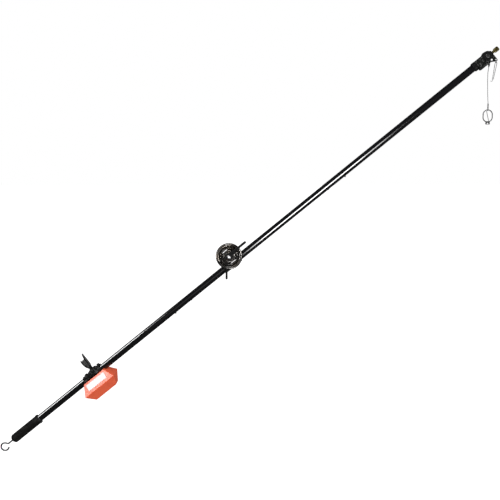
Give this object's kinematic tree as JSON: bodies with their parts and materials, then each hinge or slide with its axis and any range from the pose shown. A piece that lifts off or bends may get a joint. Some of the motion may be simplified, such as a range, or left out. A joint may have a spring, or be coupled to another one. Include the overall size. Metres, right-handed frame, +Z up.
{
  "type": "counterweighted boom arm",
  "caption": "Take-apart studio boom arm on a tilting pivot disc, with a sliding orange counterweight, rubber grip and hook, and a head with a 16 mm stud and a hanging wire with a ring.",
  "frame": {"origin": "centre of the stand socket's mouth", "axes": "+Z up along the socket, the boom lies in a plane parallel to XZ and rises 39 degrees towards +X, -Y is the side with the pivot disc"},
  "size_m": [1.8023, 0.1345, 1.4661],
  "materials": {
    "black_tube": "gloss black anodised",
    "dark_chrome": "smoked chrome",
    "chrome": "polished",
    "steel": "satin",
    "black_casting": "fine satin paint",
    "black_plastic": "satin",
    "nylon": "matte",
    "rubber": "matte",
    "orange_paint": "satin powder coat over cast iron",
    "white_label": "gloss",
    "aluminium": "turned",
    "brass": "polished",
    "wire_steel": "stranded"
  },
  "bodies": {
    "stand": {"stand_bracket": "black_casting", "pivot_bolt": "steel", "friction_washer": "nylon"},
    "socket_lock": {"socket_knob": "black_plastic", "socket_knob_screw": "steel"},
    "tilt_lock": {"tilt_handle": "black_plastic", "dome_nut": "chrome", "thrust_washer": "nylon"},
    "clamp": {"tube_clamp": "black_casting", "clamp_liner": "nylon", "pivot_disc": "dark_chrome", "disc_keys": "chrome", "slide_pad": "brass"},
    "slide_lock": {"slide_lever": "black_casting", "slide_lever_screw": "steel"},
    "boom": {"center_tube": "black_tube", "rear_tube": "black_tube", "front_tube": "black_tube", "rear_coupler": "aluminium", "front_coupler": "aluminium", "joint_rivets": "chrome", "grip_core": "aluminium", "hand_grip": "rubber", "head_collar": "black_plastic", "head_body": "black_casting", "head_cover": "black_casting", "cover_screws": "steel", "head_lug": "black_casting", "wire_anchor": "steel"},
    "rear_snap": {"rear_button": "chrome", "rear_button_spring": "steel"},
    "front_snap": {"front_button": "chrome", "front_button_spring": "steel"},
    "hook_swivel": {"hook": "chrome", "hook_washer": "chrome", "hook_nut": "steel"},
    "weight": {"counterweight_body": "orange_paint", "weight_label": "white_label", "clamp_plate": "black_casting", "plate_pad": "rubber", "clamp_bolts": "steel", "weight_pad": "brass"},
    "weight_lock": {"weight_wing": "black_plastic", "weight_wing_stud": "steel"},
    "stud_lock": {"head_knob": "black_plastic", "head_knob_cap": "steel", "head_knob_screw": "steel"},
    "stud": {"lamp_stud": "brass"},
    "lug_ring": {"small_ring": "chrome"},
    "hairpin": {"r_pin": "wire_steel"},
    "wire": {"wire_sleeve": "black_casting", "wire_rope": "wire_steel", "wire_ferrule": "wire_steel"},
    "ring": {"pull_ring": "chrome", "ring_gate": "wire_steel", "ring_clasp": "chrome"}
  },
  "joints": [
    {"name": "socket_lock_turn", "type": "hinge", "parent": "stand", "child": "socket_lock", "pos_m": [0, 0, 0.021], "axis": [0, 1, 0], "range_deg": [-180, 180]},
    {"name": "tilt_lock_turn", "type": "hinge", "parent": "stand", "child": "tilt_lock", "pos_m": [0, -0.04, 0.05], "axis": [0, 1, 0], "range_deg": [-120, 60]},
    {"name": "boom_tilt", "type": "hinge", "parent": "stand", "child": "clamp", "pos_m": [0, -0.04, 0.05], "axis": [0, 1, 0], "range_deg": [-45, 80]},
    {"name": "slide_lock_turn", "type": "hinge", "parent": "clamp", "child": "slide_lock", "pos_m": [-0.00934, -0.04, 0.00512], "axis": [0, 1, 0], "range_deg": [-60, 90]},
    {"name": "boom_slide", "type": "slide", "parent": "clamp", "child": "boom", "axis": [0.7771, 0, 0.6293], "range_m": [-0.39, 0.16]},
    {"name": "rear_button_press", "type": "slide", "parent": "boom", "child": "rear_snap", "axis": [-0.6293, 0, 0.7771], "range_m": [0, 0.0035], "stiffness_N_per_m": 1500, "springref_m": -0.002, "deforming": ["rear_button_spring"]},
    {"name": "front_button_press", "type": "slide", "parent": "boom", "child": "front_snap", "axis": [-0.6293, 0, 0.7771], "range_m": [0, 0.0035], "stiffness_N_per_m": 1500, "springref_m": -0.002, "deforming": ["front_button_spring"]},
    {"name": "hook_turn", "type": "hinge", "parent": "boom", "child": "hook_swivel", "pos_m": [-0.80483, -0.04, -0.63905], "axis": [0.7771, 0, 0.6293], "continuous": true},
    {"name": "weight_slide", "type": "slide", "parent": "boom", "child": "weight", "axis": [0.7771, 0, 0.6293], "range_m": [-0.2, 0.31]},
    {"name": "weight_lock_turn", "type": "hinge", "parent": "weight", "child": "weight_lock", "pos_m": [-0.49389, -0.04, -0.38726], "axis": [-0.6293, 0, 0.7771], "range_deg": [-180, 180]},
    {"name": "stud_lock_turn", "type": "hinge", "parent": "boom", "child": "stud_lock", "pos_m": [0.90246, -0.04, 0.74863], "axis": [0, 1, 0], "range_deg": [-180, 180]},
    {"name": "stud_turn", "type": "hinge", "parent": "boom", "child": "stud", "pos_m": [0.91197, -0.04, 0.75118], "axis": [0.7771, 0, 0.6293], "continuous": true},
    {"name": "lug_ring_swing", "type": "hinge", "parent": "boom", "child": "lug_ring", "pos_m": [0.93814, -0.04, 0.73634], "axis": [0, 1, 0], "range_deg": [-30, 15]},
    {"name": "hairpin_swing", "type": "hinge", "parent": "lug_ring", "child": "hairpin", "pos_m": [0.93814, -0.04, 0.72534], "axis": [0, 1, 0], "range_deg": [-25, 22]},
    {"name": "wire_swing", "type": "hinge", "parent": "boom", "child": "wire", "pos_m": [0.91604, -0.032, 0.72231], "axis": [0, 1, 0], "range_deg": [-30, 35]},
    {"name": "ring_swing", "type": "hinge", "parent": "wire", "child": "ring", "pos_m": [0.91684, -0.032, 0.56311], "axis": [1, 0, 0], "range_deg": [-75, 75]}
  ]
}
